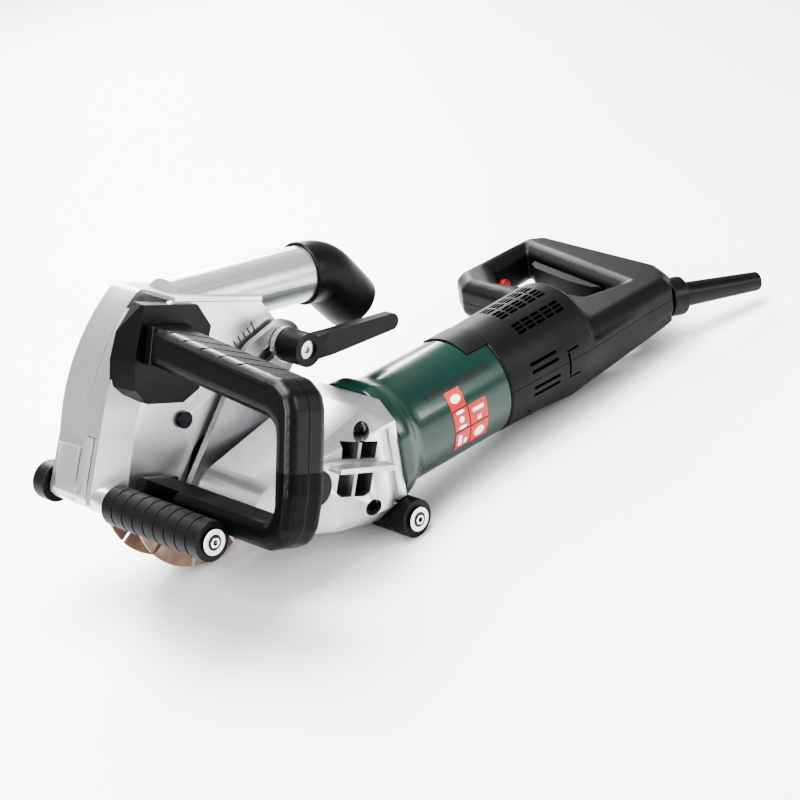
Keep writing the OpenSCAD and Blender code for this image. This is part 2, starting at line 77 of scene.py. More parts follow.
FRONT, REAR = centre("front_roller"), centre("rear_roller")
AXLE_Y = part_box("front_axle")[0].y + 1.6 * MM      # near end of the axle, under its washer
LEAN = math.atan2(FRONT.z - REAR.z, REAR.x - FRONT.x)
PITCH = math.radians(21)
WHEELBASE = (REAR - FRONT).length / MM
# Tool frame in millimetres: x backwards along the rollers, y towards the guard, z up
TOOL = (Matrix.Translation((FRONT.x, AXLE_Y, FRONT.z)) @ Matrix.Rotation(LEAN, 4, "Y")
        @ Matrix.Scale(MM, 4))
# Motor frame: x along the motor axis from the spindle
MOTOR = TOOL @ Matrix.Translation((86.5, 58.5, 5)) @ Matrix.Rotation(-PITCH, 4, "Y")
BARREL_R = 45               # green barrel, from FLANGE_U to BARREL_END
FLANGE_U, BARREL_END = 110.3, 236
DUCT_R = 40.8
FACE_Y = 102.7              # flat side of the housings, beside the bracket
REAR_R = 48                 # rear housing at its widest
CAVITY_R = 41


# ------------------------------------------------------------------ materials
def mix_rgb(nt, fac, a, b):
    """Colour socket between a and b, each a colour or a socket."""
    m = nt.nodes.new("ShaderNodeMix")
    m.data_type = "RGBA"
    nt.links.new(fac, m.inputs[0])
    for sock, v in ((m.inputs[6], a), (m.inputs[7], b)):
        if isinstance(v, tuple):
            sock.default_value = (*v, 1)
        else:
            nt.links.new(v, sock)
    return m.outputs[2]


def noise(nt, scale, detail=4.0, stretch=(1, 1, 1), rough=0.55):
    """Object-space noise; scale is in cycles per metre."""
    tc = nt.nodes.new("ShaderNodeTexCoord")
    mp = nt.nodes.new("ShaderNodeMapping")
    mp.inputs["Scale"].default_value = stretch
    nz = nt.nodes.new("ShaderNodeTexNoise")
    nz.inputs["Scale"].default_value = scale
    nz.inputs["Detail"].default_value = detail
    nz.inputs["Roughness"].default_value = rough
    nt.links.new(tc.outputs["Object"], mp.inputs[0])
    nt.links.new(mp.outputs[0], nz.inputs["Vector"])
    return nz.outputs["Fac"]


def ramp(nt, fac, lo, hi, a=0.0, b=1.0):
    """Value socket that goes from a to b as fac goes from lo to hi."""
    r = nt.nodes.new("ShaderNodeMapRange")
    r.inputs["From Min"].default_value = lo
    r.inputs["From Max"].default_value = hi
    r.inputs["To Min"].default_value = a
    r.inputs["To Max"].default_value = b
    nt.links.new(fac, r.inputs["Value"])
    return r.outputs[0]


def material(name, base, dark, rough=(0.35, 0.5), metal=0.0, grain=900.0, bump=0.15, depth=0.1,
             blotch=25.0, stretch=(1, 1, 1), coat=0.0, spec=0.5, worn=None, wear=0.0):
    """Surface with blotches of colour, fine grain in bump and roughness, and worn edges."""
    mat = bpy.data.materials.new(name)
    mat.use_nodes = True
    nt = mat.node_tree
    bsdf = nt.nodes["Principled BSDF"]
    bsdf.inputs["Metallic"].default_value = metal
    bsdf.inputs["Coat Weight"].default_value = coat
    bsdf.inputs["Coat Roughness"].default_value = 0.08
    bsdf.inputs["Specular IOR Level"].default_value = spec
    large = noise(nt, blotch, 5.0)
    fine = noise(nt, grain, 3.0, stretch)
    colour = mix_rgb(nt, ramp(nt, large, 0.35, 0.65), base, dark)
    colour = mix_rgb(nt, ramp(nt, fine, 0.3, 0.8, 0.0, 0.35), colour, dark)
    if worn:
        geo = nt.nodes.new("ShaderNodeNewGeometry")
        edge = ramp(nt, geo.outputs["Pointiness"], 0.52, 0.60, 0.0, wear)
        colour = mix_rgb(nt, edge, colour, worn)
    nt.links.new(colour, bsdf.inputs["Base Color"])
    nt.links.new(ramp(nt, large, 0.3, 0.7, *rough), bsdf.inputs["Roughness"])
    bp = nt.nodes.new("ShaderNodeBump")
    bp.inputs["Strength"].default_value = bump
    bp.inputs["Distance"].default_value = depth * MM
    nt.links.new(fine, bp.inputs["Height"])
    nt.links.new(bp.outputs[0], bsdf.inputs["Normal"])
    return mat


M = {
    "hood": material("hood_metal", (0.62, 0.62, 0.63), (0.48, 0.48, 0.49), (0.26, 0.38), 0.92,
                     1600, 0.25, 0.08, 18, (1, 1, 0.12), worn=(0.85, 0.85, 0.86), wear=0.6),
    "cast": material("die_cast", (0.42, 0.42, 0.43), (0.29, 0.29, 0.30), (0.30, 0.44), 0.92,
                     2200, 0.3, 0.08, 30, worn=(0.82, 0.83, 0.84), wear=0.6),
    "steel": material("turned_steel", (0.56, 0.56, 0.57), (0.38, 0.38, 0.40), (0.22, 0.38), 1.0,
                      1800, 0.15, 0.05, 60, (1, 12, 1), worn=(0.75, 0.75, 0.76), wear=0.5),
    "washer": material("white_washer", (0.82, 0.82, 0.82), (0.72, 0.72, 0.72), (0.35, 0.45), 0.0,
                       1500, 0.08, 0.04, 50),
    "dark_steel": material("blackened_steel", (0.05, 0.05, 0.055), (0.03, 0.03, 0.033), (0.3, 0.42), 1.0,
                           1500, 0.12, 0.05, 50),
    "bright": material("polished_steel", (0.80, 0.80, 0.81), (0.68, 0.68, 0.70), (0.14, 0.24), 0.9,
                       1500, 0.08, 0.04, 50),
    "green": material("green_housing", (0.0032, 0.030, 0.021), (0.002, 0.021, 0.015), (0.24, 0.33),
                      0.0, 700, 0.04, 0.04, 14, coat=0.3),
    "stripe": material("dark_band", (0.012, 0.022, 0.020), (0.008, 0.014, 0.013), (0.2, 0.3), 0.0,
                       900, 0.05, 0.04, 30, coat=0.3),
    "charcoal": material("charcoal_housing", (0.0058, 0.0058, 0.0068), (0.0036, 0.0036, 0.0043),
                         (0.40, 0.52), 0.0, 1900, 0.5, 0.1, 20, spec=0.28,
                         worn=(0.014, 0.014, 0.015), wear=0.3),
    "black": material("black_plastic", (0.0052, 0.0052, 0.0056), (0.0032, 0.0032, 0.0035), (0.30, 0.42),
                      0.0, 1700, 0.25, 0.07, 25, worn=(0.015, 0.015, 0.015), wear=0.3, spec=0.3),
    "grip": material("grip_rubber", (0.0075, 0.0072, 0.0072), (0.0045, 0.0045, 0.0045), (0.28, 0.38),
                     0.0, 2300, 0.3, 0.07, 30, spec=0.4),
    "rubber": material("roller_rubber", (0.007, 0.0067, 0.0065), (0.004, 0.004, 0.004), (0.42, 0.55),
                       0.0, 1500, 0.45, 0.1, 40, worn=(0.016, 0.015, 0.014), wear=0.4, spec=0.28),
    "elbow": material("elbow_rubber", (0.004, 0.004, 0.0043), (0.0028, 0.0028, 0.003), (0.34, 0.45),
                      0.0, 1300, 0.22, 0.07, 18, spec=0.32),
    "red": material("red_plastic", (0.45, 0.015, 0.01), (0.34, 0.010, 0.008), (0.28, 0.38), 0.0,
                    900, 0.1, 0.05, 40, coat=0.2),
    "tile": material("red_label", (0.52, 0.022, 0.010), (0.42, 0.018, 0.008), (0.3, 0.4), 0.0,
                     1200, 0.05, 0.03, 50, coat=0.2),
    "print": material("white_print", (0.85, 0.85, 0.84), (0.75, 0.75, 0.74), (0.4, 0.5), 0.0,
                      1500, 0.05, 0.03, 60),
    "ink": material("scale_ink", (0.07, 0.07, 0.075), (0.04, 0.04, 0.045), (0.5, 0.6), 0.0,
                    1500, 0.05, 0.03, 60),
    "disc": material("segment_metal", (0.42, 0.30, 0.24), (0.28, 0.19, 0.15), (0.35, 0.55), 0.9,
                     1400, 0.5, 0.12, 70, worn=(0.6, 0.5, 0.42), wear=0.5),
    "copper": material("winding_copper", (0.48, 0.20, 0.09), (0.33, 0.13, 0.06), (0.3, 0.4), 0.9,
                       1600, 0.5, 0.1, 60, (1, 8, 1)),
    "iron": material("laminated_iron", (0.26, 0.26, 0.28), (0.17, 0.17, 0.18), (0.4, 0.55), 0.9,
                     2400, 0.6, 0.1, 40, (10, 1, 1)),
    "brass": material("brass", (0.60, 0.44, 0.18), (0.46, 0.33, 0.13), (0.25, 0.38), 1.0,
                      1400, 0.15, 0.05, 50),
    "carbon": material("carbon", (0.03, 0.03, 0.03), (0.018, 0.018, 0.018), (0.55, 0.7), 0.0,
                       2000, 0.4, 0.1, 50),
    "board": material("circuit_board", (0.02, 0.12, 0.05), (0.012, 0.08, 0.035), (0.35, 0.5), 0.0,
                      1200, 0.2, 0.05, 80),
}

# ------------------------------------------------------------------ mesh helpers
def link(name, mesh):
    """New object in the scene with this mesh."""
    o = bpy.data.objects.new(name, mesh)
    bpy.context.scene.collection.objects.link(o)
    return o


def baked(o):
    """The object's mesh with its modifiers applied; the object goes."""
    dg = bpy.context.evaluated_depsgraph_get()
    mesh = bpy.data.meshes.new_from_object(o.evaluated_get(dg))
    bpy.data.objects.remove(o)
    return mesh


def from_bm(bm):
    """Mesh from a bmesh, its faces turned outwards."""
    bmesh.ops.recalc_face_normals(bm, faces=bm.faces)
    mesh = bpy.data.meshes.new("part")
    bm.to_mesh(mesh)
    bm.free()
    return mesh


def prism(outline, lo, hi, plane="xy"):
    """Outline extruded from lo to hi along the axis left out of the plane's name."""
    def point(p, h):
        return (p[0], p[1], h) if plane == "xy" else (h, p[0], p[1])
    bm = bmesh.new()
    a = [bm.verts.new(point(p, lo)) for p in outline]
    b = [bm.verts.new(point(p, hi)) for p in outline]
    bm.faces.new(a)
    bm.faces.new(list(reversed(b)))
    for i in range(len(a)):
        j = (i + 1) % len(a)
        bm.faces.new((a[i], a[j], b[j], b[i]))
    return from_bm(bm)


def block(lo, hi):
    """Box between two corners."""
    return prism([(lo[0], lo[1]), (hi[0], lo[1]), (hi[0], hi[1]), (lo[0], hi[1])], lo[2], hi[2])


def lathe(profile, axis="x", seg=96, a0=0.0, a1=360.0):
    """Closed solid turned from (place along the axis, radius) points, whole or from a0 to a1 degrees."""
    full = abs(a1 - a0) >= 359.9
    bm = bmesh.new()
    rings = []
    for s, r in profile:
        ring = []
        for k in range(seg if full else seg + 1):
            t = math.radians(a0 + (a1 - a0) * k / seg)
            c, d = r * math.cos(t), r * math.sin(t)
            ring.append(bm.verts.new({"x": (s, -c, d), "y": (c, s, d)}[axis]))
        rings.append(ring)
    n = len(rings[0])
    for i in range(len(rings)):
        j = (i + 1) % len(rings)
        for k in range(n if full else n - 1):
            m = (k + 1) % n
            bm.faces.new((rings[i][k], rings[j][k], rings[j][m], rings[i][m]))
    if not full:
        bm.faces.new([r[0] for r in rings])
        bm.faces.new([r[-1] for r in reversed(rings)])
    bmesh.ops.remove_doubles(bm, verts=bm.verts, dist=1e-4)
    return from_bm(bm)


def rod(r, x0, x1, axis="x", seg=64, cut=0.0):
    """Solid rod with chamfered ends."""
    e = 1e-5                # small enough for lathe to merge
    return lathe([(x0, e), (x0, r - cut), (x0 + cut + e, r), (x1 - cut - e, r), (x1, r - cut), (x1, e)],
                 axis, seg)


def joined(*meshes):
    """One mesh with the solids side by side."""
    bm = bmesh.new()
    for m in meshes:
        bm.from_mesh(m)
    out = bpy.data.meshes.new("joined")
    bm.to_mesh(out)
    bm.free()
    return out


def moved(mesh, matrix):
    """Copy of the mesh, transformed."""
    out = mesh.copy()
    out.transform(matrix)
    return out


def boolean(mesh, cutter, op="DIFFERENCE"):
    """The mesh cut by, or joined with, the cutter."""
    a, b = link("a", mesh.copy()), link("b", cutter)
    m = a.modifiers.new("b", "BOOLEAN")
    m.operation, m.solver, m.object = op, "MANIFOLD", b
    out = baked(a)
    bpy.data.objects.remove(b)
    return out


def soften(mesh, voxel, rounds):
    """Joins overlapping solids into one and rounds them off; sizes in the mesh's millimetres."""
    o = link("s", mesh)
    r = o.modifiers.new("r", "REMESH")
    r.mode, r.voxel_size, r.adaptivity = "VOXEL", voxel, 0.0
    s = o.modifiers.new("s", "SMOOTH")
    s.factor, s.iterations = 0.5, rounds
    return baked(o)


def hull(points):
    """Convex solid around the points."""
    bm = bmesh.new()
    for p in points:
        bm.verts.new(p)
    res = bmesh.ops.convex_hull(bm, input=bm.verts)
    junk = [g for g in res["geom_interior"] + res["geom_unused"] if isinstance(g, bmesh.types.BMVert)]
    bmesh.ops.delete(bm, geom=list(set(junk)), context="VERTS")
    return from_bm(bm)


def inset(outline, d):
    """Outline moved inwards by d (counter-clockwise outline)."""
    n, out = len(outline), []
    for i in range(n):
        p, q, r = (Vector(outline[k % n]) for k in (i - 1, i, i + 1))
        a, b = (q - p).normalized(), (r - q).normalized()
        na, nb = Vector((-a.y, a.x)), Vector((-b.y, b.x))
        m = (na + nb).normalized()
        out.append(tuple(q + m * (d / max(0.35, m.dot(na)))))
    return out


def piece(name, mesh, body, mat, nodes=(), place=TOOL, bevel=0.0, segs=3, sharp=35.0):
    """Puts a mesh in its place, gives it edges, a material, a body and the nodes it stands for."""
    mesh = mesh.copy()
    mesh.name = name
    if place is not None:
        mesh.transform(place)
    for p in mesh.polygons:
        p.use_smooth = True
    mesh.set_sharp_from_angle(angle=math.radians(sharp))
    o = link(name, mesh)
    mesh.materials.clear()
    mesh.materials.append(M[mat])
    if bevel:
        b = o.modifiers.new("edges", "BEVEL")
        b.width, b.segments, b.limit_method = bevel * MM, segs, "ANGLE"
        b.angle_limit = math.radians(sharp)
        b.harden_normals = True
        b.use_clamp_overlap = True
    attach(o, body)
    if nodes:
        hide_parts(*nodes)


def copied(node, flat_deg=0.6):
    """A node's mesh as clean faces, in the row frame."""
    bm = bmesh.new()
    bm.from_mesh(NODES[node].data)
    bmesh.ops.remove_doubles(bm, verts=bm.verts, dist=2e-6)
    bmesh.ops.dissolve_limit(bm, angle_limit=math.radians(flat_deg), verts=bm.verts, edges=bm.edges)
    return from_bm(bm)


def edged(node, mat, bevel):
    """A node carried over with rounded edges."""
    piece(node + "_finished", copied(node), NODES[node]["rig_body"], mat, [node], None, bevel,
          sharp=30)


def patch(u0, u1, a0, a1, r0, r1, seg=24):
    """Curved tile on the barrel: angles in degrees up from the near side."""
    return lathe([(u0, r0), (u0, r1), (u1, r1), (u1, r0)], "x", seg, a0, a1)


def wrapped(outline, u, angle, r0=45.55, r1=45.75):
    """Flat outline (along the barrel, up) printed on the barrel around (u, angle)."""
    pts = []
    for i, p in enumerate(outline):
        q = outline[(i + 1) % len(outline)]
        steps = max(1, int(math.dist(p, q) / 2.5))
        pts += [(p[0] + (q[0] - p[0]) * k / steps, p[1] + (q[1] - p[1]) * k / steps) for k in range(steps)]
    bm = bmesh.new()
    rows = []
    for r in (r0, r1):
        row = []
        for x, s in pts:
            t = math.radians(angle) + s / BARREL_R
            row.append(bm.verts.new((u + x, -r * math.cos(t), r * math.sin(t))))
        rows.append(row)
    bm.faces.new(rows[0])
    bm.faces.new(list(reversed(rows[1])))
    for i in range(len(pts)):
        j = (i + 1) % len(pts)
        bm.faces.new((rows[0][i], rows[0][j], rows[1][j], rows[1][i]))
    bmesh.ops.triangulate(bm, faces=[f for f in bm.faces if len(f.verts) > 4])
    return from_bm(bm)


def oval(cx, cy, rx, ry, n=28):
    """Ellipse as an outline."""
    return [(cx + rx * math.cos(2 * math.pi * k / n), cy + ry * math.sin(2 * math.pi * k / n))
            for k in range(n)]


def bar(x0, y0, x1, y1):
    """Rectangle as an outline."""
    return [(x0, y0), (x1, y0), (x1, y1), (x0, y1)]


def sweep(path, radii, seg=64):
    """Solid tube along a path in the xz plane."""
    bm = bmesh.new()
    rings = []
    for i, p in enumerate(path):
        a, b = Vector(path[max(0, i - 1)]), Vector(path[min(len(path) - 1, i + 1)])
        d = (b - a).normalized()
        side, up = Vector((0, 1, 0)), Vector((-d[1], 0, d[0]))
        middle = Vector((p[0], 0, p[1]))
        rings.append([bm.verts.new(middle + (side * math.cos(t) + up * math.sin(t)) * radii[i])
                      for t in [2 * math.pi * k / seg for k in range(seg)]])
    for a, b in zip(rings, rings[1:]):
        for k in range(seg):
            bm.faces.new((a[k], a[(k + 1) % seg], b[(k + 1) % seg], b[k]))
    bm.faces.new(rings[0])
    bm.faces.new(list(reversed(rings[-1])))
    return from_bm(bm)


# ------------------------------------------------------------------ rear housing
BAR_U, BAR_LEAN = 417, 11.5
LOOP_OUTLINE = [(336, -44), (440, -44), (456, -30), (466, -10), (474, 126), (460, 141), (370, 141),
                (354, 120), (350, 55), (336, 30)]
LOOP_HOLE = [(386, 5), (BAR_U, -5), (BAR_U + 26, 123), (396, 119), (375, 92)]
BAR = Matrix.Translation((BAR_U, -5, 0)) @ Matrix.Rotation(math.radians(-BAR_LEAN), 4, "Z")
GLAND = (Matrix.Translation((418, -20, 0)) @ Matrix.Rotation(math.radians(-17), 4, "Z")
         @ Matrix.Rotation(math.radians(8.5), 4, "Y"))


def loop_layer(d, h):
    """Layer of the handle loop from -h to h, thinner all round by d."""
    return boolean(prism(inset(LOOP_OUTLINE, d), -h, h), prism(inset(LOOP_HOLE, -d), -h - 5, h + 5))


def slot_box(u0, u1, angle, width, inner=38, side=1):
    """Radial cutter across the barrel wall at an angle up from the near side (side=-1: far side)."""
    m = block((u0, -REAR_R - 8, -width / 2), (u1, -inner, width / 2))
    m.transform(Matrix.Rotation(math.radians(-angle), 4, "X"))
    if side < 0:
        m.transform(Matrix.Scale(-1, 4, (0, 1, 0)))
        m.flip_normals()
    return m


# The drum over the motor's rear half, the tapering foot under it and the loop, made one and rounded off
drum = lathe([(236.4, TINY), (236.4, 45.5), (260, 46.3), (320, REAR_R), (334, REAR_R), (341, 42.5),
              (348, 34), (348, TINY)])
FOOT_STEPS = 60
round_end = [(u, -r * math.cos(t), r * math.sin(t)) for u, r in ((300, 47.6), (336, REAR_R))
             for t in [2 * math.pi * k / FOOT_STEPS for k in range(FOOT_STEPS)]]
foot = hull(round_end + [(322, y, z - 2.5) for _, y, z in round_end[FOOT_STEPS:]]
            + [(u, y, n) for u in (430, 440) for y in (-42, 8) for n in (-20, 14)])
foot = boolean(foot, block((200, -100, 6), (500, 100, 100)))
foot = boolean(foot, prism(inset(LOOP_HOLE, -3), -60, 60))
LAYERS = ((0, 10.5), (1.6, 13.5), (4, 16.2), (6.5, 18), (9, 19))
shell = soften(joined(drum, foot, *[loop_layer(d, h) for d, h in LAYERS]), 1.25, 14)
floor_side = block((0, -200, -300), (800, 300, 0))
floor_side.transform(MOTOR.inverted() @ Matrix.Translation((-0.4, 0, 0.0002)) @ Matrix.Scale(MM, 4))
shell = boolean(shell, floor_side)
inside = [rod(CAVITY_R, 228, 322, seg=48), block((318, -34, -28), (345, 24, 20)),
          block((344.2, -34, -14), (430, -10, 14)), moved(block((7, -14, -11), (27, 118, 11)), BAR),
          block((358, 15, -11), (370, 123, 11)), moved(rod(10, -2, 62, seg=32), GLAND),
          moved(rod(16.8, 30.7, 90, seg=48), GLAND),
          moved(block((-5, 19, -9.2), (12, 117, 9.2)), BAR),
          moved(rod(6.4, 100, 150, "y", 32), Matrix.Translation((404, 0, -4)))]
for m in inside:
    shell = boolean(shell, m)

# Cooling slots over the top, and on each side four slots, the notched edge of the flap and a small hole
VENT_U, VENT_STEP, VENT_LENGTH, VENT_WIDTH = 268, 11, 9, 2.8
cuts = []
for i in range(5):
    u = VENT_U + i * VENT_STEP
    for a in (50.5, 55.5, 60.5, 76, 81, 86):
        cuts += [slot_box(u, u + VENT_LENGTH, a, VENT_WIDTH, side=s) for s in (1, -1)]
for s in (1, -1):
    for a in (17, 9, -8, -16):
        cuts.append(slot_box(262, 292, a, 2.6, side=s))
    cuts.append(slot_box(303, 305, -3, 20, 43, side=s))
    cuts += [slot_box(303, 316, a, 1.6, 43, side=s) for a in (11, -17)]
    cuts.append(slot_box(259.5, 262.5, -37, 3.2, 44, side=s))
shell = boolean(shell, joined(*cuts))

# Split in two at the motor axis with a fine gap
GAP = 0.2
for half_name, nodes, n0, n1 in (
        ("rear_shell_upper", ["rear_housing_upper", "brush_flaps"], -120, GAP),
        ("rear_shell_lower", ["rear_housing_lower"], -GAP, 120)):
    half = boolean(shell, block((200, -120, n0), (520, 170, n1)))
    piece(half_name, half, "motor_unit", "charcoal", nodes, MOTOR, sharp=40)
piece("rear_shell_tongue", patch(214, 240, 58, 122, 45.1, 46.5), "motor_unit", "charcoal",
      (), MOTOR, 0.9)

# ------------------------------------------------------------------ green barrel
def barrel_radius(u, t):
    """Square with cut corners at the flange, turning into the round barrel over 20 mm."""
    square = min(50 / max(abs(math.cos(t)), abs(math.sin(t))), 52.4)
    k = min(1, max(0, (u - 118) / 20))
    k = k * k * (3 - 2 * k)
    return square + (BARREL_R - square) * k


def barrel_shell(seg=144):
    """Hollow barrel from the flange to the rear housing, its outer ends chamfered."""
    stations = [FLANGE_U, 111.2, 114] + list(range(118, 139, 2)) + [142, 180, 235.4, BARREL_END]
    turns = [2 * math.pi * k / seg for k in range(seg)]
    bm = bmesh.new()
    rings = []
    for u in stations:
        chamfer = 0.7 if u in (FLANGE_U, BARREL_END) else 0
        radii = [barrel_radius(u, t) - chamfer for t in turns]
        rings.append([bm.verts.new((u, -r * math.cos(t), r * math.sin(t))) for r, t in zip(radii, turns)])
    for u in (BARREL_END, FLANGE_U):
        rings.append([bm.verts.new((u, -DUCT_R * math.cos(t), DUCT_R * math.sin(t))) for t in turns])
    for i in range(len(rings)):
        a, b = rings[i], rings[(i + 1) % len(rings)]
        for k in range(seg):
            bm.faces.new((a[k], b[k], b[(k + 1) % seg], a[(k + 1) % seg]))
    return from_bm(bm)


# Room for the rear roller below, and the flat side beside the bracket
relief = rod(16, -60, 120, "y")
relief.transform(MOTOR.inverted() @ TOOL @ Matrix.Translation((WHEELBASE, 0, 0)))
flat_side = block((-100, FACE_Y, -100), (225, 150, 300))
flat_side.transform(MOTOR.inverted() @ TOOL)
barrel = boolean(boolean(barrel_shell(), relief), flat_side)
piece("motor_barrel", barrel, "motor_unit", "green", ["motor_housing"], MOTOR, sharp=32)
piece("barrel_band", patch(155, 225, 34.6, 42.5, 44.9, 45.2), "motor_unit", "stripe", (), MOTOR)
tiles = [patch(u0, u1, a0, a1, 44.9, 45.5) for u0, u1, a0, a1 in
         ((171, 187.5, 15, 35), (171, 187.5, -7, 13.5), (171, 187.5, -29, -9), (188.5, 208, -8, 13.5),
          (188.5, 208, -30, -9.5))]
piece("safety_tiles", joined(*tiles), "motor_unit", "tile", ["label_plate"], MOTOR, 0.15, 2)
COLUMN_1, COLUMN_2 = 179.2, 198          # middles of the two columns of tiles
marks = [wrapped(shape, u, a) for shape, u, a in (
    (oval(0, 0, 5.2, 3.4), COLUMN_1, 25), (oval(0, 0, 2.6, 2.6), COLUMN_1, 3.2),
    (oval(0, 6.2, 4.6, 1.4), COLUMN_1, 3.2), (oval(0, -6.2, 4.6, 1.4), COLUMN_1, 3.2),
    (bar(-5, -5, -1, 5), COLUMN_1, -19), (bar(1.5, -5, 5, 0), COLUMN_1, -19),
    (bar(-6, -1.5, 6, 1.5), COLUMN_2, 6), (bar(-2, -6.4, 2, -3), COLUMN_2, 2.5),
    (oval(0, 0, 5.6, 4.6), COLUMN_2, -20))]
piece("safety_marks", joined(*marks), "motor_unit", "print", (), MOTOR)

# ------------------------------------------------------------------ gear head
gear = copied("gear_housing")
rib = block((111, -5.5, 41.5), (168, 8, 45.5))
rib.transform(TOOL)
gear = boolean(gear, rib, "UNION")
piece("gear_case", gear, "motor_unit", "cast", ["gear_housing"], None, 1.6)
edged("swing_bracket", "cast", 1.4)

# ------------------------------------------------------------------ front handle
GRIP_X, GRIP_HALF = 29, 19                # middle of the handle and half its width
GRIP_LEFT, GRIP_RIGHT = GRIP_X - GRIP_HALF, GRIP_X + GRIP_HALF
BRIDGE_X = 17.6                           # inner side of the handle at its ends
D_OUTER = [(107, 2), (107, 133), (-34, 121), (-46, 114), (-51, 103), (-59, 45), (-58, 20), (-52, 8), (-40, 2)]
D_WINDOW = [(112, 20), (112, 104), (-26, 93), (-34, 89), (-36, 80), (-42, 34), (-40, 25), (-33, 21)]
BAND = [(88, 124.5), (88, 145), (-22, 145), (-22, 114)]


def rounded(outline, r, steps=6, skip=()):
    """Outline with its corners rounded by radius r."""
    out, n = [], len(outline)
    for i in range(n):
        p, q, s = (Vector(outline[k % n]) for k in (i - 1, i, i + 1))
        if i in skip:
            out.append(tuple(q))
            continue
        a, b = (p - q).normalized(), (s - q).normalized()
        half = math.acos(max(-1, min(1, a.dot(b)))) / 2
        d = min(r / math.tan(half), (p - q).length * 0.48, (s - q).length * 0.48)
        c0, c1 = q + a * d, q + b * d
        for k in range(steps + 1):
            t = k / steps
            out.append(tuple(c0 * (1 - t) ** 2 + q * 2 * t * (1 - t) + c1 * t * t))
    return out


HANDLE = rounded(D_OUTER, 12, 6, (0, 1))
HANDLE_WINDOW = rounded(D_WINDOW, 8, 5, (0, 1))


def grip_layer(d, h):
    """Layer of the handle from -h to h about its middle, thinner all round by d."""
    outer = prism(inset(HANDLE, d), GRIP_X - h, GRIP_X + h, "yz")
    return boolean(outer, prism(inset(HANDLE_WINDOW, -d), -50, 100, "yz"))


EDGE_R = 8
layers = [grip_layer(EDGE_R * (1 - math.cos(t)), GRIP_HALF - EDGE_R + EDGE_R * math.sin(t))
          for t in [math.radians(a) for a in (90, 66, 44, 24, 6)]]
loop = soften(joined(*layers), 1.1, 5)
loop = boolean(loop, block((-40, 99, -20), (90, 140, 150)))
loop = boolean(loop, block((-20, 60, -20), (17.5, 300, 21)))
# Hard frame, without the band of the sleeve and with a parting line along its middle
frame_part = boolean(loop, prism(BAND, GRIP_X - 25, GRIP_X + 25, "yz"))
line = boolean(prism(inset(HANDLE, -2), GRIP_X - 0.25, GRIP_X + 0.25, "yz"),
               prism(inset(HANDLE, 0.6), 0, 80, "yz"))
line = boolean(line, block((0, 86, -20), (80, 140, 160)))
frame_part = boolean(frame_part, line)
piece("loop_handle", frame_part, "guard", "black", ["d_handle_frame"], TOOL, sharp=40)
for end_name, outline, x0, width in (
        ("loop_handle_foot", [(99, 2), (107, 2), (107, 20), (99, 20)], BRIDGE_X, 0.8),
        ("loop_handle_head", [(99, 104), (107, 104), (107, 133), (99, 132.4)], GRIP_LEFT, 1.5)):
    piece(end_name, prism(outline, x0, GRIP_RIGHT, "yz"), "guard", "black", (), TOOL, width)
# Soft sleeve on the top bar with diagonal grooves
soft = boolean(loop, prism([(88.3, 124.8), (-22.3, 114.3), (-22.3, 90), (110, 90), (110, 150), (88.3, 150)],
                           -60, 100, "yz"))
soft = boolean(soft, prism([(-22.3, 60), (-22.3, 150), (-120, 150), (-120, 60)], -60, 100, "yz"))
grooves = []
for i in range(5):
    g = block((-30, -0.9, -2.2), (30, 0.9, 2.2))
    g.transform(Matrix.Translation((GRIP_X, 76 - 20 * i, 131.4 - 1.7 * i))
                @ Matrix.Rotation(math.radians(-40), 4, "Z"))
    grooves.append(g)
soft = boolean(soft, joined(*grooves))
piece("grip_sleeve", soft, "guard", "grip", ["d_handle_grip"], TOOL, sharp=40)

# ------------------------------------------------------------------ dust elbow
TUBE = TOOL @ Matrix.Translation((56, 144, 137.5)) @ Matrix.Rotation(math.radians(-11), 4, "Y")
TUBE_LEN, ELBOW_R = 152, 24.3
CORNER = TUBE_LEN + 2                     # where the elbow's two centre lines meet
BEND = math.radians(44)
OUTLET_R = 17.5


def after_bend(d):
    """Point on the outlet's centre line at distance d from the corner."""
    return (CORNER + d * math.cos(BEND), -d * math.sin(BEND))


def elbow_path(bend_r=30.0, steps=10):
    """Centre line: straight, a bend downwards, straight."""
    back = bend_r * math.tan(BEND / 2)
    pts = [(TUBE_LEN - 18, 0), (TUBE_LEN - 14, 0), (CORNER - back, 0)]
    for k in range(1, steps + 1):
        a = BEND * k / steps
        pts.append((CORNER - back + bend_r * math.sin(a), -bend_r * (1 - math.cos(a))))
    return pts + [after_bend(d) for d in (back + 8, 34, 47.5, 49, 49.9)]


path = elbow_path()
outer = sweep(path, [ELBOW_R - 0.6, ELBOW_R] + [ELBOW_R] * (len(path) - 7) + [24.2, 23.9, 23.4, 23, 22.2])
bore = sweep([(CORNER - 14, 0), (CORNER - 8, 0), after_bend(8), after_bend(60)], [OUTLET_R] * 4, 48)
outer = boolean(outer, rod(22.55, TUBE_LEN - 30, TUBE_LEN + 0.2))
outer = boolean(outer, bore)
lip = TUBE_LEN - 17.9
collar = boolean(rod(ELBOW_R + 0.7, lip, lip + 2.6, cut=0.6), rod(ELBOW_R - 0.3, lip - 2, lip + 6))
piece("dust_bend", joined(outer, collar), "elbow", "elbow", ["dust_elbow"], TUBE, sharp=38)

